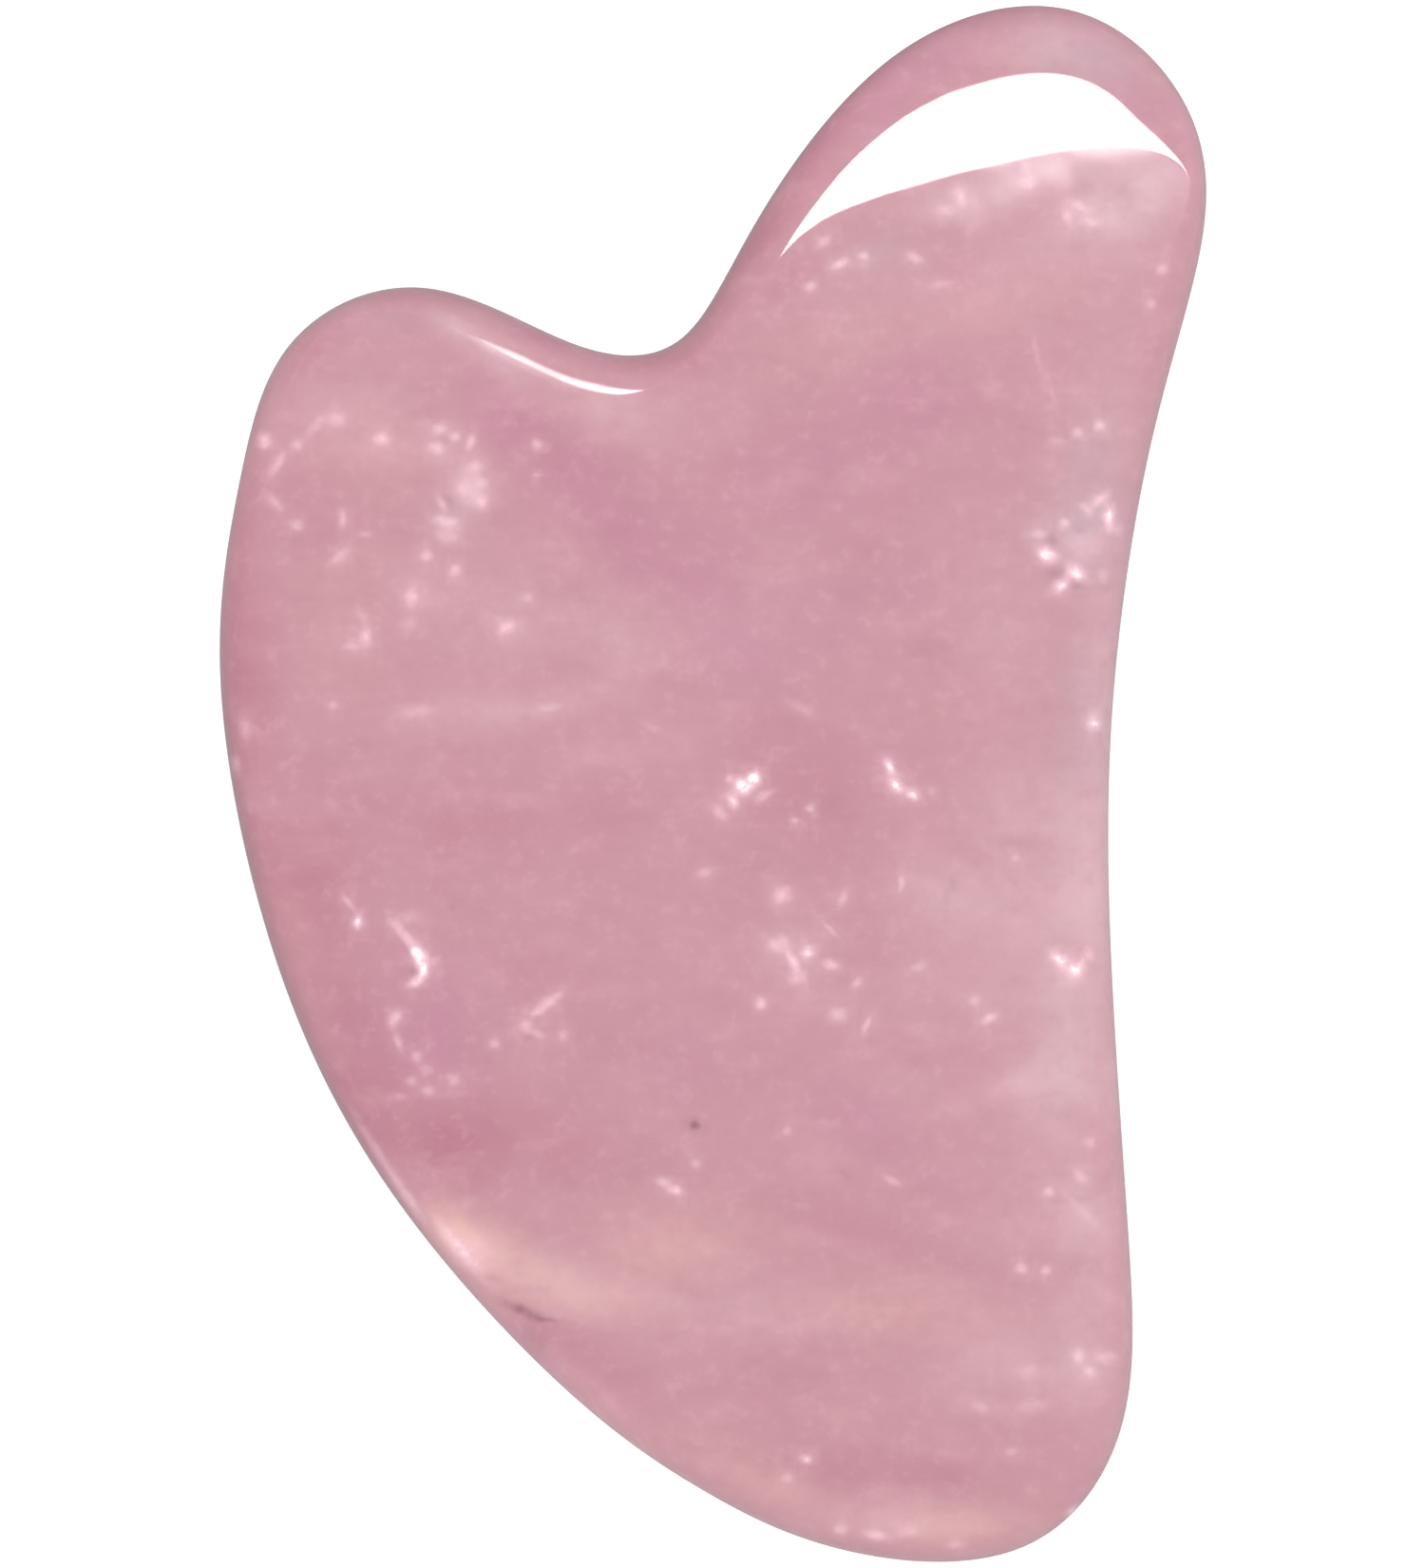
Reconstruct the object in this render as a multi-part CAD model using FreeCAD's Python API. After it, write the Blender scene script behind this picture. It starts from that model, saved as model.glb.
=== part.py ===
"""Gua sha scraper: one polished slab of rose quartz, in millimetres.

The stone lies on its back flat. +Z is up through its thickness, +Y runs along its length towards
the two lobes, and +X is across it, towards the long hollow side. The origin is on the back flat,
under the middle of the outline's box.

The outline is a smooth closed curve through the stations of EDGE, at mid thickness. A second curve
through the same number of points bounds the ground flat on each face. Between the two, every
section of the border is a quarter of an ellipse, so the border meets the flat without a crease and
stands upright at mid thickness. Where the flat is drawn well in from the edge, on the crown of the
tall lobe, the stone thins to a broad, soft wedge.
"""

import FreeCAD, Part
import os

from FreeCAD import Vector

THICKNESS = 6.0
MID_HEIGHT = THICKNESS / 2
EDGE_WIDTH = 1.5  # how far the rounded border reaches in from the edge, where it isn't given below
FACE_STATIONS = 2  # how many stations each face of the border runs past
ELLIPSE_WEIGHT = 0.5**0.5  # the weight that makes a three-pole conic a quarter of an ellipse
POLE_RATIO = 3**0.5 - 2  # how a cubic's poles fall off with distance from the point they pass

# Each station of the outline, anticlockwise from the crown of the tall lobe.
EDGE = {
    "tall_crown": (18.5, 40.8),
    "tall_shoulder": (9.4, 38.2),
    "tall_neck": (2.3, 29.6),
    "notch_rise": (-1.7, 23.4),
    "notch_fall": (-7.4, 23.2),
    "short_crown": (-15.1, 26.1),
    "short_shoulder": (-22.1, 23.3),
    "short_side": (-24.9, 15.9),
    "belly_top": (-25.9, 5.4),
    "belly_middle": (-23.2, -8.6),
    "belly_low": (-17.1, -21.2),
    "sweep_upper": (-8.0, -31.6),
    "sweep_lower": (-0.6, -37.1),
    "tail_left": (6.9, -40.3),
    "tail_bottom": (16.2, -40.2),
    "tail_right": (21.5, -33.9),
    "hollow_low": (21.9, -23.8),
    "hollow_middle": (21.0, -9.4),
    "hollow_upper": (21.1, 4.6),
    "hollow_top": (23.2, 18.4),
    "tall_side": (25.8, 28.8),
    "tall_corner": (24.7, 36.1),
}

# Where the border is wider or narrower than EDGE_WIDTH: its width, square to the edge, and how far
# the flat's own point is carried along the edge, anticlockwise.
BORDER = {
    "tall_crown": (7.1, -2.7),
    "tall_shoulder": (5.6, 5.0),
    "tall_neck": (2.1, 0.9),
    "notch_rise": (1.1, -0.1),
    "notch_fall": (2.1, -1.1),
    "short_crown": (1.1, 0.0),
    "short_shoulder": (1.1, 0.0),
    "tall_side": (1.5, -0.6),
    "tall_corner": (1.9, -3.5),
}


def poles_through(points):
    """The poles of the smooth closed cubic that passes through these evenly numbered points."""
    count = len(points)
    poles = []
    for here in range(count):
        pole = Vector()
        for step in range(-count // 2, count // 2):
            pole += points[(here + step) % count] * (3**0.5 * POLE_RATIO ** abs(step))
        poles.append(pole)
    return poles


def edge_poles():
    """The poles of the outline, at height 0."""
    return poles_through([Vector(x, y, 0) for x, y in EDGE.values()])


def flat_poles(edge):
    """The poles of the ground flat's border, set in from the outline's, at height 0."""
    points = []
    for number, (station, (x, y)) in enumerate(EDGE.items()):
        width, carry = BORDER.get(station, (EDGE_WIDTH, 0.0))
        along = (edge[(number + 1) % len(edge)] - edge[number - 1]).normalize()
        inward = Vector(-along.y, along.x, 0)
        points.append(Vector(x, y, 0) + inward * width + along * carry)
    return poles_through(points)


def turns(count):
    """The knots of a closed curve of this many poles, and the multiplicity of each."""
    return list(range(count + 1)), [1] * (count + 1)


def spans():
    """The stretches of the curves that the border is made in: first and last knot."""
    return [(first, first + FACE_STATIONS) for first in range(0, len(EDGE), FACE_STATIONS)]


def border_faces(edge, flat, height):
    """The rounded border from mid thickness to the flat at this height."""
    at_middle = Vector(0, 0, MID_HEIGHT)
    at_face = Vector(0, 0, height)
    rows = [
        [outer + at_middle, outer + at_face, inner + at_face] for outer, inner in zip(edge, flat)
    ]
    weights = [[1.0, ELLIPSE_WEIGHT, 1.0]] * len(rows)
    knots, multiplicities = turns(len(rows))
    faces = []
    for first, last in spans():
        surface = Part.BSplineSurface()
        surface.buildFromPolesMultsKnots(
            rows, multiplicities, [3, 3], knots, [0, 1], True, False, 3, 2, weights
        )
        surface.segment(first, last, 0, 1)
        faces.append(surface.toShape())
    return faces


def flat_face(flat, height):
    """The ground flat at this height."""
    poles = [pole + Vector(0, 0, height) for pole in flat]
    knots, multiplicities = turns(len(poles))
    edges = []
    for first, last in spans():
        curve = Part.BSplineCurve()
        curve.buildFromPolesMultsKnots(poles, multiplicities, knots, True, 3)
        curve.segment(first, last)
        edges.append(curve.toShape())
    return Part.Face(Part.Wire(edges))


def stone():
    """The whole scraper as one solid."""
    edge = edge_poles()
    flat = flat_poles(edge)
    faces = []
    for height in (0.0, THICKNESS):
        faces += border_faces(edge, flat, height)
        faces.append(flat_face(flat, height))
    skin = Part.Compound(faces)
    skin.sewShape()
    solid = Part.makeSolid(skin.Shells[0])
    if solid.Volume < 0:
        solid.reverse()
    return solid


def main():
    os.makedirs("parts", exist_ok=True)
    blade = stone()
    blade.exportStep("parts/stone_blade.step")
    box = blade.optimalBoundingBox(False, False)
    print(f"stone_blade: {box.XLength:.1f} x {box.YLength:.1f} x {box.ZLength:.1f} mm")
    print(f"volume {blade.Volume / 1000:.2f} cm3, faces {len(blade.Faces)}")
    print(f"valid {blade.isValid()}, closed {blade.isClosed()}")


main()
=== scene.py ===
"""The looks of the gua sha scraper: one polished slab of rose quartz under one large soft box.

The scene is in metres, in the part's own frame. The stone lies on its back flat, +Z is up through
its thickness, +Y runs towards the two lobes and +X towards the long hollow side. The tables are in
millimetres, and so is the mesh until it is made into an object.
"""

import math

import bpy
import numpy as np

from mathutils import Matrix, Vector
from mathutils.geometry import delaunay_2d_cdt


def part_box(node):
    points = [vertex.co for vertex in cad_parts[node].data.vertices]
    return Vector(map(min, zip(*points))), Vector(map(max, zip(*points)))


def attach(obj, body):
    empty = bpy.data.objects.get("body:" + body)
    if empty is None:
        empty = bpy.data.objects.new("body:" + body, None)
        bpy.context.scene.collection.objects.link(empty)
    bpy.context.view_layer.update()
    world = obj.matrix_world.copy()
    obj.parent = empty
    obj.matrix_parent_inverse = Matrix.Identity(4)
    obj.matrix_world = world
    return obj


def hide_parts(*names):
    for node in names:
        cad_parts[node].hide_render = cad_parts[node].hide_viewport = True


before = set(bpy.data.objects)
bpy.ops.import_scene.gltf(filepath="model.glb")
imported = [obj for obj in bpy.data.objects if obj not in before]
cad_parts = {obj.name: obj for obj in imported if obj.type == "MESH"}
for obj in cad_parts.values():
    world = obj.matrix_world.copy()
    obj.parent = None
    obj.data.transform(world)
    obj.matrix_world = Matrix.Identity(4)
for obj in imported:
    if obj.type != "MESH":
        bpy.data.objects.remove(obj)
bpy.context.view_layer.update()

MM = 0.001
NODE = "stone_blade"

# ---------------------------------------------------------------------------------------------
# The stone's outline, as the part has it, and its border, within half a millimetre of the part's
# ---------------------------------------------------------------------------------------------

EDGE_WIDTH = 1.5  # how far the rounded border reaches in from the edge, where it isn't given below
POLE_SHARE = 3**0.5  # a cubic's pole takes this share of the point it passes
POLE_RATIO = POLE_SHARE - 2  # and this ratio from each point to the next one away

# Each station of the outline, anticlockwise from the crown of the tall lobe.
EDGE = {
    "tall_crown": (18.5, 40.8),
    "tall_shoulder": (9.4, 38.2),
    "tall_neck": (2.3, 29.6),
    "notch_rise": (-1.7, 23.4),
    "notch_fall": (-7.4, 23.2),
    "short_crown": (-15.1, 26.1),
    "short_shoulder": (-22.1, 23.3),
    "short_side": (-24.9, 15.9),
    "belly_top": (-25.9, 5.4),
    "belly_middle": (-23.2, -8.6),
    "belly_low": (-17.1, -21.2),
    "sweep_upper": (-8.0, -31.6),
    "sweep_lower": (-0.6, -37.1),
    "tail_left": (6.9, -40.3),
    "tail_bottom": (16.2, -40.2),
    "tail_right": (21.5, -33.9),
    "hollow_low": (21.9, -23.8),
    "hollow_middle": (21.0, -9.4),
    "hollow_upper": (21.1, 4.6),
    "hollow_top": (23.2, 18.4),
    "tall_side": (25.8, 28.8),
    "tall_corner": (24.7, 36.1),
}

# Where the border is wider or narrower than EDGE_WIDTH: its width, square to the edge, and how far
# the flat's own point is carried along the edge, anticlockwise.
BORDER = {
    "tall_crown": (7.1, -2.7),
    "tall_shoulder": (5.6, 5.0),
    "tall_neck": (2.1, 0.9),
    "notch_rise": (1.3, -0.2),
    "notch_fall": (2.1, -1.5),
    "short_crown": (1.5, 0.2),
    "short_shoulder": (1.1, 0.0),
    "tall_side": (1.5, -0.6),
    "tall_corner": (1.9, -3.5),
}

# How much of the quarter turn from upright to flat the border makes, where it doesn't make it all
# but meets the flat at a slight angle. More than 1 keeps the whole turn for longer on both sides.
TURN = {
    "tall_neck": 0.91,
    "notch_rise": 0.65,
    "notch_fall": 1.03,
    "short_crown": 0.78,
    "short_shoulder": 0.74,
    "short_side": 0.74,
}

USUAL_DEPTH_AND_EDGE_SHADE = 0.25  # how much deeper and darker the stone's colour is at its edge, partly painted shade, where it isn't given below

# How much deeper and darker the colour is at the edge, from 0 to 1: partly the stone seen through
# its edge, partly painted shade, strongest along the left edge, the notch and the tall lobe's
# shoulder, and faint along the right.
DEPTH_AND_EDGE_SHADE = {
    "tall_crown": 0.70,
    "tall_shoulder": 1.00,
    "tall_neck": 0.90,
    "notch_rise": 0.85,
    "notch_fall": 0.55,
    "short_crown": 0.80,
    "short_shoulder": 0.75,
    "short_side": 0.60,
    "belly_top": 0.90,
    "belly_middle": 0.90,
    "belly_low": 0.70,
    "sweep_upper": 0.12,
    "tail_right": 0.18,
    "hollow_low": 0.12,
    "hollow_middle": 0.12,
    "hollow_upper": 0.12,
    "tall_corner": 0.35,
}

# ---------------------------------------------------------------------------------------------
# What lies in the stone
# ---------------------------------------------------------------------------------------------

# A soft ellipse is the x and y of its middle, its half length, its half width, the angle of its
# length from +X in degrees, and its strength from 0 to 1.

# Milky clouds near the front, and a painted glow round the notch's highlight.
MILK = {
    "crown": [(18.8, 38.4, 3.2, 1.8, -15, 0.48)],
    "under_the_crown": [(14.0, 31.0, 3.6, 1.2, 14, 0.46), (21.8, 30.8, 3.0, 2.4, 30, 0.46)],
    "tall_lobe": [(18.4, 28.4, 5.0, 2.4, 20, 0.22)],
    "tall_side": [(21.5, 21.5, 2.2, 6.0, 0, 0.14), (20.0, 17.5, 2.2, 2.4, 0, 0.14)],
    # Painted highlight: a milky glow round the notch's highlight, trailing up and left from it.
    "notch_highlight_glow": [(-13.2, 23.9, 2.4, 0.7, -22, 0.46), (-10.9, 21.8, 2.2, 0.6, -30, 0.40)],
    "under_the_notch": [(-5.4, 19.4, 4.0, 1.8, -8, 0.30)],
    "short_lobe": [(-18.6, 19.8, 3.6, 2.0, 8, 0.18)],
    "short_lobe_veil": [(-12.6, 15.8, 1.5, 1.9, 0, 0.34), (-14.2, 18.1, 1.4, 1.0, 0, 0.26)],
    "left_middle": [(-12.0, 9.0, 6.5, 3.0, -15, 0.16), (-5.0, 7.6, 3.0, 2.0, -35, 0.18)],
    "middle": [(0.0, 8.4, 6.0, 2.6, -5, 0.14), (-12.5, 3.2, 4.0, 1.8, 0, 0.12)],
    "right": [(15.2, 9.0, 3.0, 4.5, 0, 0.16), (15.2, -1.6, 2.8, 3.0, 0, 0.18)],
    "left_streak": [(-10.5, 3.9, 6.0, 0.9, 4, 0.16), (-5.0, 4.6, 2.5, 0.6, -20, 0.12)],
    "hollow_veil": [(19.2, 12.8, 2.2, 2.2, 0, 0.50)],
    "hollow_side": [(20.6, 3.0, 1.8, 8.0, 0, 0.36), (18.8, -6.0, 3.2, 7.5, 0, 0.45)],
    "hollow_low": [(18.6, -15.2, 3.6, 4.4, 0, 0.46), (19.4, -22.6, 2.2, 3.2, 0, 0.34)],
    "low_middle": [(10.0, -16.6, 3.0, 1.8, 0, 0.15), (0.0, -26.6, 3.5, 1.4, 0, 0.06)],
    "lower_right": [(15.0, -22.4, 3.2, 3.0, 0, 0.10), (19.6, -27.2, 2.4, 2.4, 0, 0.24)],
    "right_middle": [(13.0, -6.2, 4.2, 2.4, -20, 0.33), (12.5, -10.5, 5.0, 2.4, 0, 0.14)],
    "centre_crumbs": [(4.3, -9.0, 2.0, 1.8, 0, 0.22), (7.0, -11.8, 1.8, 1.0, 0, 0.06)],
    "lower_band": [(-8.5, -26.0, 3.6, 1.6, -12, 0.42), (1.5, -27.4, 8.0, 1.6, -3, 0.16)],
    "tail": [(15.6, -30.6, 4.4, 2.6, 0, 0.26), (19.8, -31.0, 1.8, 3.2, 0, 0.22)],
    "tail_edge": [(10.5, -38.7, 5.5, 0.9, -3, 0.26)],
}

# Deeper rose, where the stone is clear, and in bands along the edge; those along the notch, the neck
# and the short lobe's crown are painted shade on the border.
ROSE = {
    "short_lobe_skin": [(-24.8, 12.0, 1.0, 7.0, -6, 0.40)],
    "belly": [(-24.0, 6.0, 1.8, 5.0, 0, 0.50), (-21.6, -4.6, 3.6, 5.4, 8, 0.60)],
    "belly_low": [(-18.8, -12.5, 2.4, 5.0, 22, 0.55), (-14.4, -18.4, 4.4, 3.2, -32, 0.76)],
    "belly_skin": [(-25.2, 2.0, 1.2, 7.0, 3, 0.36), (-23.4, -9.0, 1.2, 5.5, 15, 0.46)],
    "belly_foot": [(-19.8, -16.6, 1.8, 3.6, 28, 0.58)],
    "short_lobe": [(-20.5, 14.6, 3.4, 4.6, 0, 0.25)],
    "centre_left": [(-5.5, -1.8, 3.0, 2.4, 0, 0.20)],
    "left_centre": [(-13.0, -2.2, 5.5, 3.0, 0, 0.34), (-9.0, -18.6, 4.8, 2.4, -12, 0.40)],
    "left_low": [(-8.0, -9.5, 4.5, 4.5, 0, 0.14)],
    "under_the_notch": [(-9.5, 18.6, 3.0, 1.7, -35, 0.34), (4.6, 26.8, 3.0, 1.1, 28, 0.45)],
    # Painted shade: the next four rows darken the border of the notch, the neck and the short lobe's
    # crown with deeper rose.
    "notch_rise": [(0.0, 23.4, 1.8, 2.6, -50, 0.28), (3.8, 30.2, 5.0, 1.0, 56, 0.50)],
    "neck_painted_shade": [(5.4, 34.8, 5.6, 1.6, 50, 0.85), (0.8, 27.2, 3.4, 1.0, 58, 0.50)],
    "notch_painted_shade": [(-3.6, 22.2, 2.8, 0.8, 0, 0.45), (-8.6, 23.2, 2.8, 0.5, -22, 0.40)],
    "short_crown_painted_shade": [(-16.0, 25.6, 3.2, 0.8, 0, 0.40), (-21.5, 22.9, 2.6, 0.8, 42, 0.25)],
    "notch_to_centre": [(-6.8, 15.8, 6.5, 3.0, -42, 0.26), (-1.5, 11.5, 4.5, 3.2, -30, 0.14)],
    "tall_lobe_foot": [(10.6, 20.4, 3.4, 2.2, 0, 0.22), (5.5, 16.4, 6.0, 3.2, 0, 0.12)],
    "centre": [(4.6, 0.2, 4.4, 3.2, 0, 0.42), (6.8, -3.4, 4.0, 2.0, 0, 0.14)],
    "lower_right": [(7.6, -23.4, 4.5, 1.5, -15, 0.32), (16.0, -13.6, 2.4, 1.6, 0, 0.16)],
    "lower_left": [(-6.5, -29.9, 4.5, 1.1, -33, 0.40), (2.5, -33.0, 4.0, 1.6, -20, 0.20)],
    "tail": [(8.5, -36.0, 5.5, 1.3, 0, 0.36), (12.5, -36.3, 2.0, 0.7, 0, 0.22)],
}

# Cooler, mauve stone.
MAUVE = {
    "notch_to_centre": [(-6.8, 15.6, 6.5, 2.6, -42, 0.46), (-1.5, 11.5, 4.5, 3.2, -30, 0.28)],
    "tall_lobe_foot": [(10.6, 20.4, 3.6, 2.4, 0, 0.46), (5.5, 16.4, 6.0, 3.2, 0, 0.30)],
    "tall_lobe": [(14.5, 26.0, 4.5, 2.4, 20, 0.16)],
    "crown": [(10.4, 37.0, 5.5, 1.8, 34, 0.55), (21.5, 37.0, 4.5, 1.2, -48, 0.40)],
    "middle": [(2.5, 7.0, 5.0, 3.4, 0, 0.35), (9.0, 10.5, 5.0, 3.0, 0, 0.20)],
    "left": [(-12.0, 2.0, 5.5, 1.2, 5, 0.20), (-14.5, -12.5, 4.0, 4.5, 0, 0.50)],
    "low_middle": [(-1.5, -15.0, 2.6, 3.0, 0, 0.30), (8.2, -17.6, 4.0, 2.2, -25, 0.40)],
    "tail": [(12.5, -21.5, 3.5, 1.6, -20, 0.22)],
    "short_lobe": [(-18.0, 23.8, 3.6, 1.6, 8, 0.20)],
    "under_the_notch": [(-11.2, 19.6, 2.4, 1.5, -40, 0.38)],
}

# Greyer stone, misty and cool.
MIST = {
    "hollow_veil": [(19.4, 13.4, 2.6, 3.2, 0, 0.60), (20.0, 17.6, 2.2, 2.8, 0, 0.30)],
    "hollow_side": [(19.6, 3.0, 2.0, 5.5, 0, 0.40), (19.4, -13.6, 2.0, 3.0, 0, 0.20)],
    "short_crown": [(-16.5, 24.4, 3.6, 1.2, 0, 0.25)],
    "crown": [(19.2, 38.0, 4.2, 2.2, -15, 0.60), (9.0, 28.0, 3.6, 1.5, 20, 0.28)],
    "short_lobe_veil": [(-13.6, 14.0, 1.8, 1.4, 0, 0.30)],
}

# Warmer, peachy stone.
PEACH = {
    "edge_glow": [(-13.4, -23.6, 2.2, 1.4, -45, 0.90), (-10.9, -25.0, 3.2, 1.4, -25, 0.60)],
    "lower_band": [(-2.0, -24.3, 4.0, 2.0, 5, 0.42), (-7.6, -26.8, 4.5, 1.3, -8, 0.42)],
    "lower_right": [(10.0, -27.6, 5.0, 1.6, -3, 0.36)],
    "tail_edge": [(2.6, -36.3, 4.0, 1.1, -25, 0.40), (12.0, -38.9, 5.0, 1.2, 0, 0.45)],
    "short_lobe": [(-18.5, 17.5, 4.0, 2.2, 0, 0.20), (-19.0, 9.5, 3.0, 4.0, 0, 0.10)],
    "tall_lobe": [(14.5, 25.2, 5.5, 1.6, 12, 0.26), (7.5, 23.2, 4.0, 1.6, 20, 0.15)],
    "belly": [(-22.6, -7.5, 2.0, 3.5, 8, 0.14)],
}
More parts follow.
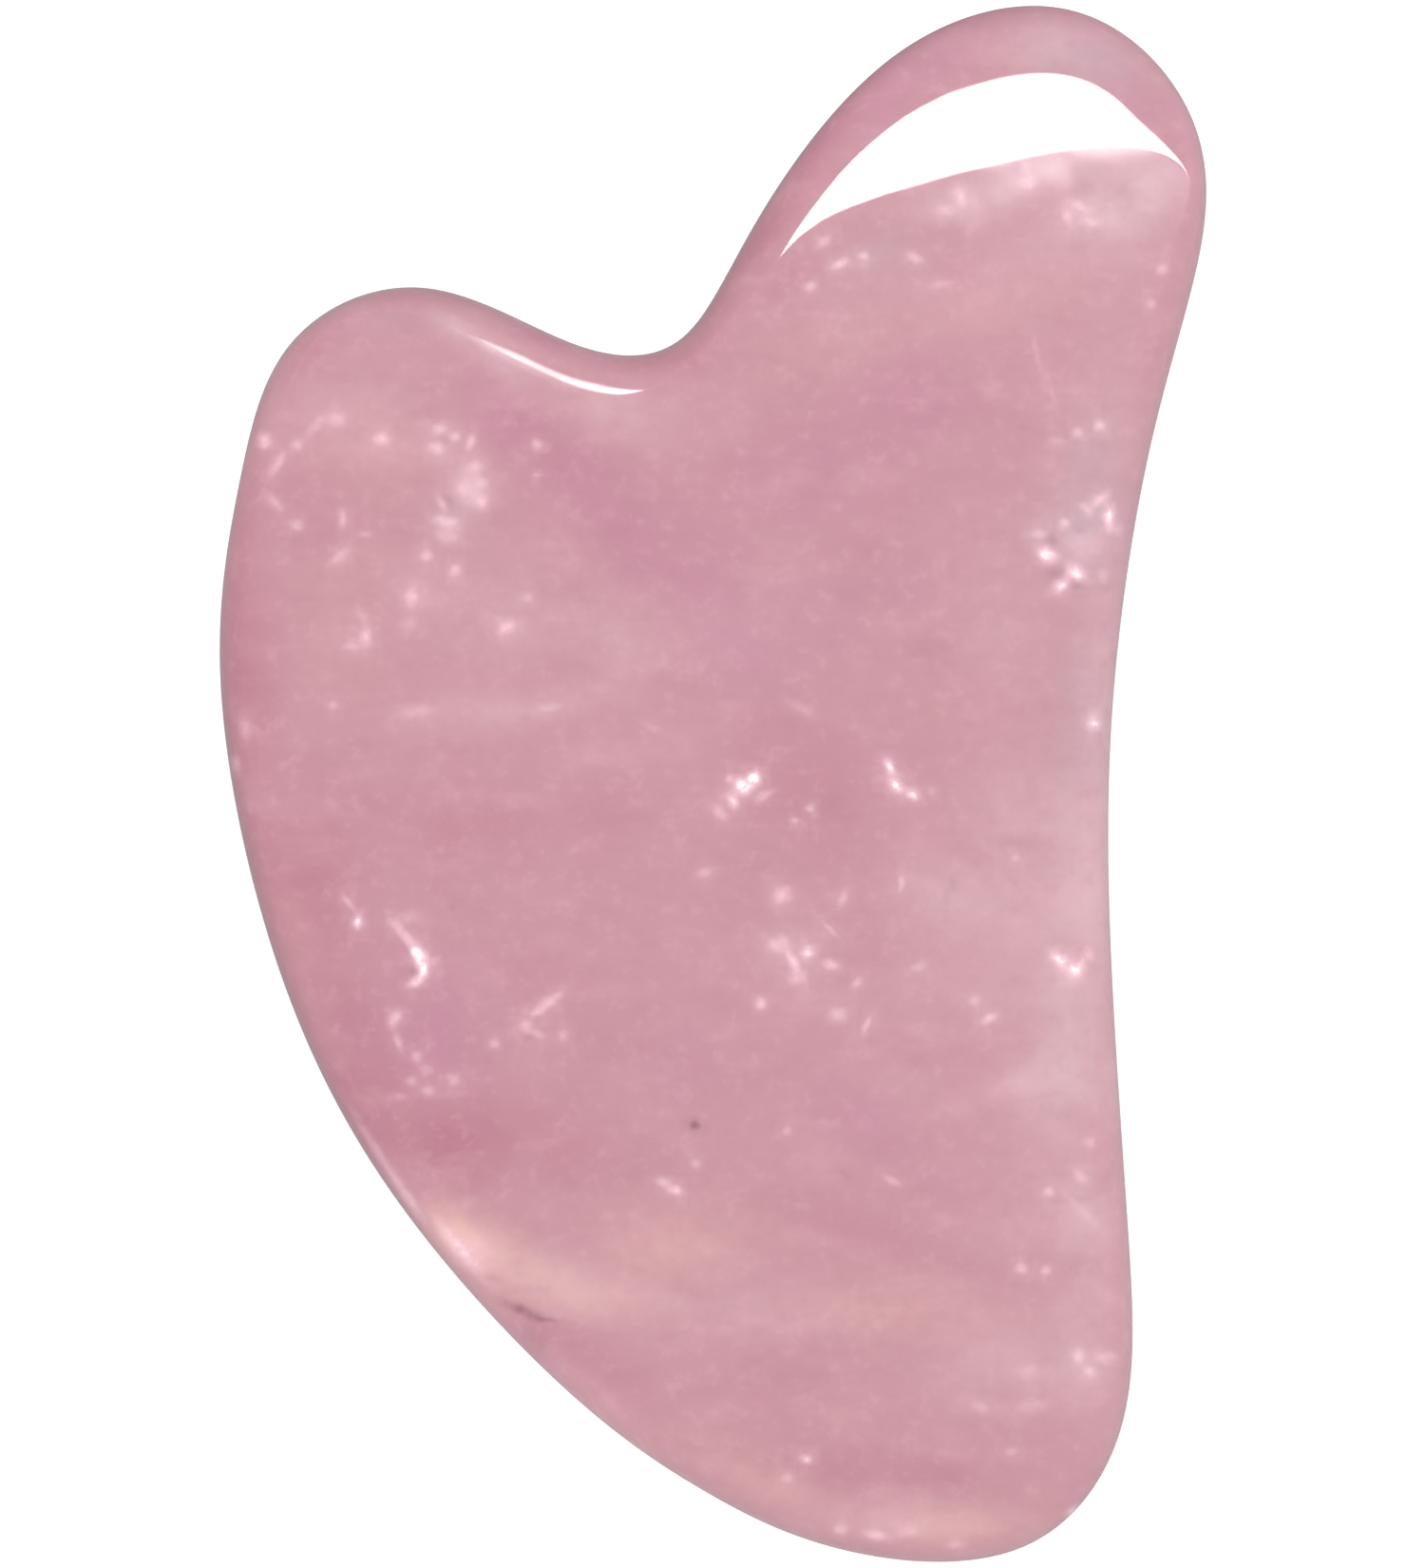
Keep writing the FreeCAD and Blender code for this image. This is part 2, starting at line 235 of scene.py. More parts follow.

# White feathers and specks: healed cracks just under the front, and a painted highlight along the
# lower left edge.
FEATHERS = {
    "short_lobe_side": [
        (-23.5, 18.0, 0.34, 0.34, 0, 0.56),
        (-22.8, 16.8, 0.65, 0.22, 61, 0.38),
        (-21.8, 17.8, 0.28, 0.24, 0, 0.35),
        (-20.8, 18.8, 0.75, 0.24, 50, 0.28),
        (-19.7, 19.1, 0.42, 0.34, 20, 0.45),
        (-17.4, 18.1, 0.38, 0.30, -10, 0.62),
        (-22.9, 14.7, 0.50, 0.25, -45, 0.30),
        (-21.8, 13.6, 0.32, 0.30, 0, 0.40),
        (-19.4, 13.9, 0.45, 0.20, 90, 0.42),
        (-18.2, 13.1, 0.30, 0.16, 0, 0.30),
        (-19.6, 11.9, 0.60, 0.26, 38, 0.34),
    ],
    "short_lobe_veil": [
        (-14.3, 18.6, 0.34, 0.26, 15, 0.45),
        (-14.5, 17.6, 0.38, 0.28, -10, 0.52),
        (-13.5, 18.2, 0.26, 0.24, 0, 0.40),
        (-12.7, 17.9, 0.42, 0.22, 70, 0.45),
        (-12.5, 16.6, 0.38, 0.30, 20, 0.45),
        (-13.0, 15.6, 0.46, 0.40, 50, 0.42),
        (-12.2, 15.8, 0.38, 0.32, 0, 0.34),
        (-12.5, 15.0, 0.60, 0.50, 0, 0.30),
        (-12.1, 14.8, 0.26, 0.30, 0, 0.45),
        (-14.2, 14.7, 0.42, 0.18, -60, 0.40),
        (-14.0, 13.8, 0.60, 0.25, -5, 0.56),
        (-13.9, 13.1, 0.62, 0.46, 0, 0.42),
    ],
    "left_specks": [
        (-15.0, 12.0, 0.28, 0.30, 0, 0.45),
        (-13.5, 11.2, 0.30, 0.26, 20, 0.50),
        (-15.8, 9.8, 0.42, 0.30, 90, 0.58),
        (-15.9, 8.4, 0.40, 0.36, 0, 0.22),
        (-10.8, 8.2, 0.42, 0.28, 30, 0.62),
        (-18.2, 7.7, 0.38, 0.28, 80, 0.62),
        (-18.9, 7.2, 0.44, 0.20, 0, 0.34),
        (-18.4, 8.8, 0.50, 0.22, -60, 0.20),
        (-9.2, 17.8, 0.30, 0.30, 0, 0.38),
        (-9.2, 16.2, 0.26, 0.12, 0, 0.28),
        (-9.7, 9.8, 0.30, 0.26, 0, 0.28),
        (-19.9, 4.1, 0.22, 0.20, 0, 0.30),
        (-8.6, 4.0, 0.60, 0.22, 10, 0.25),
        (-15.6, 3.8, 0.90, 0.30, 10, 0.22),
        (-3.2, 3.0, 0.70, 0.20, -25, 0.13),
        (4.6, 4.0, 0.90, 0.26, -28, 0.14),
        (-24.5, 2.9, 0.30, 0.50, 10, 0.30),
        (-25.0, 1.0, 0.26, 0.34, 0, 0.30),
    ],
    "crown_foot": [
        (16.4, 32.3, 0.30, 0.45, 15, 0.34),
        (16.5, 31.5, 0.40, 0.32, 0, 0.60),
        (13.0, 30.8, 0.30, 0.45, 20, 0.55),
        (12.2, 30.1, 0.50, 0.26, 0, 0.35),
        (19.2, 30.3, 0.50, 0.22, -25, 0.45),
        (19.8, 29.5, 0.45, 0.20, -10, 0.40),
        (18.6, 29.8, 0.22, 0.40, 15, 0.38),
        (19.1, 29.8, 1.00, 0.80, 0, 0.24),
        (23.6, 27.0, 0.28, 0.26, 0, 0.40),
        (23.0, 25.2, 0.26, 0.26, 0, 0.30),
        (5.8, 28.4, 0.40, 0.22, 40, 0.45),
        (6.7, 27.3, 0.42, 0.20, 30, 0.60),
        (7.9, 27.7, 0.30, 0.20, 0, 0.50),
        (10.6, 27.6, 0.40, 0.22, -20, 0.40),
        (5.1, 26.1, 0.34, 0.24, 20, 0.40),
        (17.0, 22.6, 0.16, 1.00, 12, 0.15),
        (17.8, 20.6, 0.14, 1.20, 14, 0.12),
        (12.0, 26.2, 0.70, 0.20, 8, 0.22),
    ],
    "hollow_veil": [
        (17.55, 12.0, 0.48, 0.36, -30, 1.00),
        (19.05, 11.1, 0.48, 0.33, -35, 1.00),
        (18.3, 10.4, 0.48, 0.27, 35, 0.78),
        (20.8, 14.0, 0.50, 0.27, 92, 0.95),
        (20.3, 14.9, 0.48, 0.22, 40, 0.65),
        (18.45, 13.65, 0.26, 0.24, 0, 0.55),
        (17.1, 13.1, 0.36, 0.25, 0, 0.45),
        (19.6, 14.4, 0.42, 0.24, -40, 0.42),
        (19.6, 12.6, 1.10, 0.80, 0, 0.28),
        (21.3, 13.3, 0.30, 0.16, 0, 0.30),
        (18.1, 18.0, 0.42, 0.20, 0, 0.22),
        (20.3, 18.8, 0.30, 0.28, 0, 0.55),
        (19.15, 18.4, 0.28, 0.26, 0, 0.42),
        (20.5, 11.0, 0.24, 0.22, 0, 0.30),
        (20.0, 3.3, 0.30, 0.30, 0, 1.00),
    ],
    "centre_stars": [
        (1.55, -0.15, 0.46, 0.42, 0, 1.00),
        (2.15, 0.3, 0.40, 0.34, 30, 1.00),
        (0.9, 0.3, 0.22, 0.20, 0, 0.45),
        (1.05, -0.9, 0.42, 0.24, -60, 0.70),
        (2.7, -0.6, 0.50, 0.24, 30, 0.38),
        (0.4, -1.5, 0.50, 0.28, -45, 0.38),
        (9.3, 0.9, 0.46, 0.24, -65, 0.80),
        (9.6, -0.05, 0.46, 0.30, -45, 0.95),
        (10.5, -0.55, 0.36, 0.26, -20, 0.80),
        (11.5, -0.4, 0.24, 0.20, 0, 0.24),
        (5.15, -1.25, 0.26, 0.22, 0, 0.42),
        (4.3, -1.9, 0.26, 0.16, 0, 0.32),
    ],
    "centre_crumbs": [
        (3.65, -5.85, 0.46, 0.38, 20, 0.50),
        (6.85, -6.0, 0.48, 0.22, 70, 0.32),
        (9.9, -5.2, 0.42, 0.16, 80, 0.42),
        (15.9, -3.9, 0.20, 0.18, 0, 0.35),
        (-0.4, -4.65, 0.36, 0.24, 20, 0.35),
        (6.15, -7.6, 0.60, 0.14, -45, 0.28),
        (3.4, -8.4, 0.48, 0.34, 20, 0.54),
        (4.2, -9.25, 0.78, 0.24, -60, 0.60),
        (4.4, -10.2, 0.42, 0.30, 0, 0.42),
        (5.0, -8.8, 0.34, 0.27, 10, 0.80),
        (6.2, -9.5, 0.46, 0.22, -15, 0.52),
        (10.8, -9.6, 0.36, 0.20, 20, 0.28),
        (7.6, -10.4, 0.32, 0.20, 45, 0.38),
        (2.5, -11.5, 0.30, 0.28, 0, 0.55),
        (6.6, -12.1, 0.42, 0.34, 0, 0.42),
        (8.05, -12.7, 0.52, 0.15, 65, 0.44),
        (13.75, -11.4, 0.30, 0.26, 0, 0.36),
        (14.5, -12.3, 0.42, 0.24, 30, 0.52),
        (18.2, -9.2, 0.50, 0.34, -35, 0.84),
        (18.95, -9.8, 0.42, 0.36, 20, 1.00),
        (19.55, -9.2, 0.50, 0.16, 50, 0.62),
    ],
    "belly_comma": [
        (-16.65, -7.35, 0.36, 0.24, -45, 0.40),
        (-16.1, -8.0, 0.60, 0.24, -48, 0.45),
        (-15.45, -8.95, 0.58, 0.36, -54, 1.00),
        (-15.2, -9.7, 0.50, 0.28, 80, 0.95),
        (-15.6, -10.4, 0.42, 0.22, 25, 0.62),
        (-15.9, -7.0, 0.60, 0.30, 0, 0.22),
        (-18.6, -7.2, 0.36, 0.22, 90, 0.78),
        (-19.1, -6.2, 0.50, 0.15, -50, 0.32),
    ],
    "belly_specks": [
        (-16.65, -12.3, 0.42, 0.27, 50, 0.60),
        (-16.5, -13.5, 0.52, 0.20, -70, 0.38),
        (-15.5, -14.3, 0.30, 0.24, 0, 0.34),
        (-15.0, -15.0, 0.34, 0.30, 0, 0.27),
        (-15.8, -15.6, 0.30, 0.28, 0, 0.27),
        (-14.9, -16.1, 0.30, 0.28, 0, 0.32),
        (-13.6, -15.5, 0.34, 0.28, 0, 0.30),
        (-16.4, -16.4, 0.36, 0.24, 0, 0.18),
        (-8.65, -11.5, 0.50, 0.28, 36, 0.50),
        (-9.15, -11.95, 0.40, 0.18, 35, 0.45),
        (-8.1, -11.1, 0.32, 0.20, 45, 0.28),
        (-9.8, -12.7, 0.32, 0.28, 0, 0.46),
        (-9.15, -13.1, 0.42, 0.20, -20, 0.28),
        (-7.85, -13.2, 0.28, 0.28, 0, 0.28),
        (-11.45, -13.6, 0.28, 0.26, 0, 0.34),
    ],
    "low_specks": [
        (-1.95, -21.3, 0.36, 0.24, -35, 0.66),
        (-2.6, -20.9, 0.40, 0.22, -30, 0.36),
        (-0.9, -19.9, 0.30, 0.24, 0, 0.28),
        (3.9, -18.2, 0.22, 0.22, 0, 0.30),
        (9.4, -20.8, 0.50, 0.20, -30, 0.30),
        (15.9, -15.7, 1.10, 0.60, 20, 0.15),
        (17.6, -21.4, 0.26, 0.24, 0, 0.48),
        (19.3, -20.6, 0.40, 0.26, -50, 0.35),
        (19.4, -22.4, 1.40, 0.22, -45, 0.20),
        (16.2, -25.4, 0.34, 0.26, 0, 0.42),
        (17.5, -25.5, 0.26, 0.24, 0, 0.46),
        (19.8, -18.8, 0.26, 0.24, 0, 0.28),
    ],
    "tail_specks": [
        (19.2, -30.0, 0.28, 0.34, 20, 0.52),
        (19.8, -30.8, 0.34, 0.26, -30, 0.52),
        (20.6, -30.1, 0.50, 0.26, 0, 0.40),
        (14.0, -32.7, 0.42, 0.26, -10, 0.30),
        (16.8, -32.6, 0.80, 0.34, 10, 0.24),
        (16.6, -30.8, 0.50, 0.40, 0, 0.26),
        (15.7, -35.0, 0.28, 0.22, 0, 0.32),
        (4.9, -35.4, 0.28, 0.24, 0, 0.70),
        (3.9, -36.4, 0.30, 0.24, 30, 0.34),
        (8.6, -39.4, 0.55, 0.24, -10, 0.50),
        (10.3, -39.2, 0.45, 0.24, 10, 0.36),
        (6.7, -39.1, 0.24, 0.22, 0, 0.50),
        (12.8, -39.9, 0.36, 0.20, 0, 0.32),
        (18.9, -38.2, 0.30, 0.18, 40, 0.55),
    ],
    # Painted highlight: these marks are a pale line and glow just inside the lower left edge.
    "edge_glow": [
        (-13.3, -24.3, 1.60, 0.34, -49, 0.62),
        (-12.2, -24.5, 1.30, 0.80, -40, 0.26),
        (-17.4, -19.6, 2.40, 0.20, -58, 0.26),
        (-15.9, -21.8, 1.30, 0.22, -56, 0.34),
    ],
}

# Small dark places beside the feathers, and the stain in the pit and the crack.
DARK = {
    "pit": [(-0.9, -17.9, 0.25, 0.23, 0, 0.80)],
    "crack": [(-10.15, -27.5, 0.80, 0.27, -20, 0.60), (-9.3, -27.95, 0.42, 0.22, -24, 0.48)],
    "crack_tail": [(-8.6, -28.1, 0.60, 0.13, -8, 0.34)],
    "crack_shadow": [(-11.6, -25.9, 0.55, 0.18, -12, 0.20), (-9.4, -29.1, 0.70, 0.80, 0, 0.20)],
    "hollow_veil": [(19.1, 10.4, 0.34, 0.22, -20, 0.30), (17.8, 12.8, 0.30, 0.26, 0, 0.25)],
    "veil_grey": [(18.0, 11.2, 0.45, 0.34, 20, 0.25), (19.3, 13.3, 0.34, 0.20, 0, 0.14)],
    "belly_comma": [(-15.7, -9.8, 0.22, 0.20, 0, 0.30), (-16.0, -8.8, 0.45, 0.13, -55, 0.32)],
    "short_lobe": [(-13.9, 14.9, 0.30, 0.26, 0, 0.16), (-14.1, 18.1, 0.30, 0.24, 0, 0.12)],
    "specks": [(12.6, -5.1, 0.20, 0.36, 0, 0.14), (-13.6, -6.5, 0.20, 0.20, 0, 0.14)],
    "more_specks": [(-9.7, -13.3, 0.24, 0.20, 0, 0.18), (7.0, -20.5, 0.40, 0.16, -40, 0.14)],
}

# Hollows in the polished face, with their depths in place of a strength.
DENTS = {
    "pit": [(-0.9, -17.9, 0.24, 0.22, 0, 0.005)],
    "crack": [(-10.3, -27.45, 1.00, 0.20, -19, 0.010), (-9.4, -27.85, 0.40, 0.20, -30, 0.010)],
    "crack_tail": [(-8.6, -28.1, 0.50, 0.16, -8, 0.006)],
}

# Where the polish is duller, by how much rougher it is: the notch is hard to reach with a pad.
DULL = {
    "notch": [
        (-11.6, 23.1, 1.9, 0.45, -30, 0.17),
        (-9.1, 21.9, 1.9, 0.45, -24, 0.17),
        (-6.2, 20.9, 2.2, 0.45, -12, 0.17),
    ],
}

# The back isn't seen in any picture of the stone, so its clouds and feathers are drawn by chance:
# how many there are, and the ranges of their places, half lengths, half widths and angles.
BACK_SEED = 17
BACK_CLOUDS = 16
BACK_FEATHERS = 64
BACK_PLACES = ((-23, 23), (-37, 37))
BACK_CLOUD_SIZES = ((3, 8), (1.5, 4), (-40, 40))
BACK_FEATHER_SIZES = ((0.25, 0.8), (0.14, 0.34), (-80, 80))
BACK_STRENGTHS = {"milk": 0.34, "rose": 0.36, "mauve": 0.40, "mist": 0.20, "peach": 0.24}
BACK_DARK = [(7.2, 11.5, 0.25, 0.22, 0, 0.8), (-12.4, -3.1, 0.9, 0.14, 35, 0.35)]

# ---------------------------------------------------------------------------------------------
# The mesh
# ---------------------------------------------------------------------------------------------

SPAN_STEPS = 28  # points along the outline from one station to the next
CRACK_STRETCH = (10.3, 11.3, 160)  # first and last station of a finer stretch, and its points
BORDER_RINGS = 28  # rings of the rounded border from the edge to the flat
LATTICE = 0.08  # spacing of the finest points on the flat
MERGE = LATTICE / 1000  # points nearer than this to each other count as one
COARSE_STEP = 8  # the rest of the flat has every eighth lattice point
LATTICE_MARGIN = 1.6  # how far the fine points reach round a feather, in its own half sizes
RIM_CLEARANCE = 0.09  # no lattice point stands nearer than this to the flat's rim
SLOPE_STEP = 0.02  # the distance over which a dent's slope is measured
CLOUD_FALL = 1.4  # how fast a cloud fades with the square of the distance from its middle
FEATHER_FALL = 0.80  # the same for a feather
DEPTH_AND_EDGE_SHADE_REACH = 0.65  # how fast the deeper colour and painted edge shade fade with distance from the edge
RAGGED_SIZE = 0.13  # how far apart the shifts that make a feather uneven are, over two pi
RAGGED_SHIFT = 0.025  # how large they are

CLOUDS = ("milk", "rose", "mauve", "mist", "peach")
MASKS = CLOUDS + ("dull", "feather", "dark", "edge")


def poles_through(points):
    """The poles of the smooth closed cubic that passes through these evenly numbered points."""
    count = len(points)
    poles = np.zeros_like(points)
    for step in range(-count // 2, count // 2):
        poles += np.roll(points, -step, axis=0) * POLE_SHARE * POLE_RATIO ** abs(step)
    return poles


def curve(poles, stations):
    """The places and the directions of the closed cubic with these poles, at these stations."""
    whole = np.floor(stations).astype(int)
    t = (stations - whole)[:, None]
    place_shares = [(1 - t) ** 3, 3 * t**3 - 6 * t**2 + 4, 3 * t + 3 * t**2 - 3 * t**3 + 1, t**3]
    slope_shares = [-((1 - t) ** 2), 3 * t**2 - 4 * t, 1 + 2 * t - 3 * t**2, t**2]
    near = [poles[(whole + offset) % len(poles)] for offset in (-1, 0, 1, 2)]
    places = sum(share * pole for share, pole in zip(place_shares, near)) / 6
    slopes = sum(share * pole for share, pole in zip(slope_shares, near)) / 2
    return places, slopes


def eased(table, usual, stations):
    """The values of a table by station, eased from one station to the next, and their slopes."""
    values = np.array([[table.get(station, usual)] for station in EDGE])
    return tuple(found[:, 0] for found in curve(poles_through(values), stations))


def turns(stations):
    """The border's turn, in radians, and its slope from station to station."""
    turn, slope = (found * math.pi / 2 for found in eased(TURN, 1.0, stations))
    full = turn > math.pi / 2
    return np.where(full, math.pi / 2, turn), np.where(full, 0, slope)


def edge_and_flat(stations):
    """Places and slopes of the outline, and then of the flat's rim, at these stations."""
    edge_poles = poles_through(np.array(list(EDGE.values())))
    along = np.roll(edge_poles, -1, axis=0) - np.roll(edge_poles, 1, axis=0)
    along /= np.linalg.norm(along, axis=1)[:, None]
    inward = np.stack([-along[:, 1], along[:, 0]], axis=1)
    border = np.array([BORDER.get(station, (EDGE_WIDTH, 0.0)) for station in EDGE])
    rim = np.array(list(EDGE.values())) + inward * border[:, :1] + along * border[:, 1:]
    return curve(edge_poles, stations) + curve(poles_through(rim), stations)


def listed(table):
    """All the ellipses of a table, in one list."""
    return [ellipse for ellipses in table.values() for ellipse in ellipses]


def reach(points, ellipse):
    """The square of each point's distance from the ellipse's middle, in its own half sizes."""
    x, y, half_length, half_width, angle, _ = ellipse
    turn = math.radians(angle)
    across = points - np.array([x, y])
    along = across @ np.array([math.cos(turn), math.sin(turn)]) / half_length
    aside = across @ np.array([-math.sin(turn), math.cos(turn)]) / half_width
    return along**2 + aside**2


def clouds(points, ellipses):
    """How much of these soft clouds there is at each point."""
    total = np.zeros(len(points))
    for ellipse in ellipses:
        total += ellipse[-1] * np.exp(-CLOUD_FALL * reach(points, ellipse))
    return np.minimum(total, 1.0)


def ragged(points):
    """These points, each shifted a little, which makes whatever is drawn over them uneven."""
    x, y = (points / RAGGED_SIZE).T
    shift = np.stack([np.sin(y + 1.7 * np.sin(0.6 * x)), np.sin(x + 1.7 * np.sin(0.6 * y))], axis=1)
    return points + RAGGED_SHIFT * shift


def feathers(points, ellipses):
    """How white or dark these marks make each point."""
    clear = np.ones(len(points))
    points = ragged(points)
    for ellipse in ellipses:
        clear *= 1 - ellipse[-1] * np.exp(-FEATHER_FALL * reach(points, ellipse))
    return 1 - clear


def dents_at(points, dents):
    """How deep the face is hollowed at each point."""
    depth = np.zeros(len(points))
    for dent in dents:
        depth = np.maximum(depth, dent[-1] * np.exp(-(reach(points, dent) ** 2)))
    return depth


def inside(points, loop):
    """Which points lie inside this closed loop, by the even-odd rule."""
    result = np.zeros(len(points), bool)
    x, y = points.T
    for (x1, y1), (x2, y2) in zip(loop, np.roll(loop, -1, axis=0)):
        if y1 != y2:
            crosses = ((y1 > y) != (y2 > y)) & (x < (x2 - x1) * (y - y1) / (y2 - y1) + x1)
            result ^= crosses
    return result


def clear_of(points, loop):
    """Which points stand clear of the loop's own points."""
    nearest = np.full(len(points), np.inf)
    for corner in loop:
        nearest = np.minimum(nearest, ((points - corner) ** 2).sum(axis=1))
    return nearest > RIM_CLEARANCE**2


def lattice_points(rim, marks):
    """Points for the flat inside this rim: sparse all over, and close together at each mark."""
    low = np.floor(rim.min(axis=0) / LATTICE).astype(int)
    high = np.ceil(rim.max(axis=0) / LATTICE).astype(int)
    columns, rows = np.meshgrid(np.arange(low[0], high[0] + 1), np.arange(low[1], high[1] + 1))
    wanted = (columns % COARSE_STEP == 0) & (rows % COARSE_STEP == 0)
    for ellipse in marks:
        size = max(ellipse[2], ellipse[3]) * LATTICE_MARGIN
        left, right = (np.array([-size, size]) + ellipse[0]) / LATTICE - low[0]
        bottom, top = (np.array([-size, size]) + ellipse[1]) / LATTICE - low[1]
        part_rows = slice(max(int(bottom), 0), max(int(top) + 1, 0))
        part = part_rows, slice(max(int(left), 0), max(int(right) + 1, 0))
        points = np.stack([columns[part], rows[part]], axis=-1) * LATTICE
        wanted[part] |= reach(points, ellipse) < LATTICE_MARGIN**2
    points = np.stack([columns[wanted], rows[wanted]], axis=-1) * LATTICE
    points = points[inside(points, rim)]
    return points[clear_of(points, rim)]


def triangles(rim, points):
    """The flat's triangles over its rim's points and then these points, anticlockwise."""
    corners = [Vector(corner) for corner in np.concatenate([rim, points])]
    made = delaunay_2d_cdt(corners, [], [list(range(len(rim)))], 1, MERGE)
    origins = [origin[0] for origin in made[3]]
    return [[origins[corner] for corner in face] for face in made[2]]


def column_stations():
    """Where the mesh's columns stand along the outline, in stations."""
    first, last, count = CRACK_STRETCH
    even = np.arange(len(EDGE) * SPAN_STEPS) / SPAN_STEPS
    even = even[(even < first) | (even > last)]
    return np.sort(np.concatenate([even, np.linspace(first, last, count)]))


def back_marks():
    """Clouds and feathers for the back, the same each time."""
    draw = np.random.default_rng(BACK_SEED)
    tables = {"dull": [], "dark": BACK_DARK}
    for mask, strength in BACK_STRENGTHS.items():
        tables[mask] = []
        for _ in range(BACK_CLOUDS):
            ellipse = [draw.uniform(*span) for span in BACK_PLACES + BACK_CLOUD_SIZES]
            tables[mask].append((*ellipse, draw.uniform(0.4, 1) * strength))
    tables["feather"] = []
    for _ in range(BACK_FEATHERS):
        ellipse = [draw.uniform(*span) for span in BACK_PLACES + BACK_FEATHER_SIZES]
        tables["feather"].append((*ellipse, draw.uniform(0.2, 1) ** 1.5))
    return tables


def front_marks():
    """The tables of the front, by mask."""
    return {
        "milk": listed(MILK),
        "rose": listed(ROSE),
        "mauve": listed(MAUVE),
        "mist": listed(MIST),
        "peach": listed(PEACH),
        "dull": listed(DULL),
        "feather": listed(FEATHERS),
        "dark": listed(DARK),
    }


def face_masks(points, marks):
    """Each mask's strength at these points."""
    found = {mask: clouds(points, marks[mask]) for mask in (*CLOUDS, "dull")}
    found |= {mask: feathers(points, marks[mask]) for mask in ("feather", "dark")}
    return found


def border_rings(edge, edge_slope, rim, rim_slope, turn, turn_slope, half, up):
    """The rounded border's rings from the edge to the flat: places, normals, and nearness to
    the edge from 0 to 1."""
    top_cos, top_sin = np.cos(turn), np.sin(turn)
    width = np.linalg.norm(edge - rim, axis=1)
    places, normals, nearness = [], [], []
    for step in np.linspace(0, 1, BORDER_RINGS + 1):
        cos, sin = np.cos(step * turn), np.sin(step * turn)
        share, rise = (cos - top_cos) / (1 - top_cos), sin / top_sin
        share_drift = turn_slope * (top_sin - step * sin - share * top_sin) / (1 - top_cos)
        rise_drift = turn_slope * (step * cos - rise * top_cos) / top_sin
        across = edge - rim
        along = rim_slope + (edge_slope - rim_slope) * share[:, None] + across * share_drift[:, None]
        along = np.column_stack([along, half * rise_drift])
        inward = np.column_stack([-across * (sin / (1 - top_cos))[:, None], half * cos / top_sin])
        normal = np.cross(along, inward)
        place = np.column_stack([rim + across * share[:, None], half * rise])
        places.append(place * (1, 1, up))
        normals.append(normal * (1, 1, up))
        nearness.append(np.exp(-width * (1 - share) / DEPTH_AND_EDGE_SHADE_REACH))
    return np.concatenate(places), np.concatenate(normals), np.concatenate(nearness)


def one_face(curves, turn, depths, half, up, marks, dents):
    """One half of the stone, in millimetres from mid thickness.

    Returns its points, their normals on the border and on the flat, their masks, the border's
    faces and the flat's faces. The first ring of points is the edge.
    """
    rim = curves[2]
    places, normals, nearness = border_rings(*curves, *turn, half, up)
    inner = lattice_points(rim, marks["feather"] + marks["dark"])
    places = np.concatenate([places, np.column_stack([inner, np.full(len(inner), half * up)])])
    level = np.tile([0.0, 0.0, up], (len(places), 1))
    normals = np.concatenate([normals, level[: len(inner)]])

    flat = places[:, :2]
    depth = dents_at(flat, dents)
    slopes = [
        (dents_at(flat + step, dents) - dents_at(flat - step, dents)) / (2 * SLOPE_STEP)
        for step in (np.array([SLOPE_STEP, 0]), np.array([0, SLOPE_STEP]))
    ]
    normals /= np.linalg.norm(normals, axis=1)[:, None]
    places -= normals * depth[:, None]
    for each in (normals, level):
        each[:, :2] += np.stack(slopes, axis=1)
        each /= np.linalg.norm(each, axis=1)[:, None]

    masks = face_masks(flat, marks)
    # The edge mask: the deeper colour and painted shade near the edge.
    masks["edge"] = np.append(nearness * np.tile(depths, BORDER_RINGS + 1), np.zeros(len(inner)))

    count = len(rim)
    column = np.arange(count)
    following = np.roll(column, -1)
    border = []
    for ring in range(BORDER_RINGS):
        lower, upper = ring * count, (ring + 1) * count
        quads = [lower + column, lower + following, upper + following, upper + column]
        border += np.stack(quads, axis=1).tolist()
    start = BORDER_RINGS * count
    flats = [[start + corner for corner in face] for face in triangles(rim, inner)]
    if up < 0:
        border, flats = ([face[::-1] for face in faces] for faces in (border, flats))
    return places, normals, level, masks, border, flats


def stone_mesh():
    """The whole stone, with the normals of the surface's own formula."""
    low, high = (np.array(corner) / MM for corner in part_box(NODE))
    middle, half = (low[2] + high[2]) / 2, (high[2] - low[2]) / 2
    columns = column_stations()
    curves, turn = edge_and_flat(columns), turns(columns)
    # The deeper colour and painted shade at the edge, station by station.
    depths = eased(DEPTH_AND_EDGE_SHADE, USUAL_DEPTH_AND_EDGE_SHADE, columns)[0]
    places, faces, normals = [], [], []
    masks = {mask: [] for mask in MASKS}
    for up, marks, dents in ((1, front_marks(), listed(DENTS)), (-1, back_marks(), [])):
        found = one_face(curves, turn, depths, half, up, marks, dents)
        shared = len(columns) if places else 0  # the back takes the front's edge as its own
        shift = sum(len(some) for some in places) - shared
        for side, side_faces in zip(found[1:3], found[4:6]):
            for face in side_faces:
                faces.append([c if c < shared else c + shift for c in face])
                normals += side[face].tolist()
        places.append(found[0][shared:])
        for mask in MASKS:
            masks[mask].append(found[3][mask][shared:])
    places = np.concatenate(places) + (0, 0, middle)
    mesh = bpy.data.meshes.new("rose_quartz_stone")
    mesh.from_pydata((places * MM).tolist(), [], faces)
    mesh.shade_smooth()
    mesh.normals_split_custom_set(normals)
    for mask in MASKS:
        layer = mesh.attributes.new(mask, "FLOAT", "POINT")
        layer.data.foreach_set("value", np.concatenate(masks[mask]).astype(np.float32))
    return mesh


# ---------------------------------------------------------------------------------------------
# The material
# ---------------------------------------------------------------------------------------------

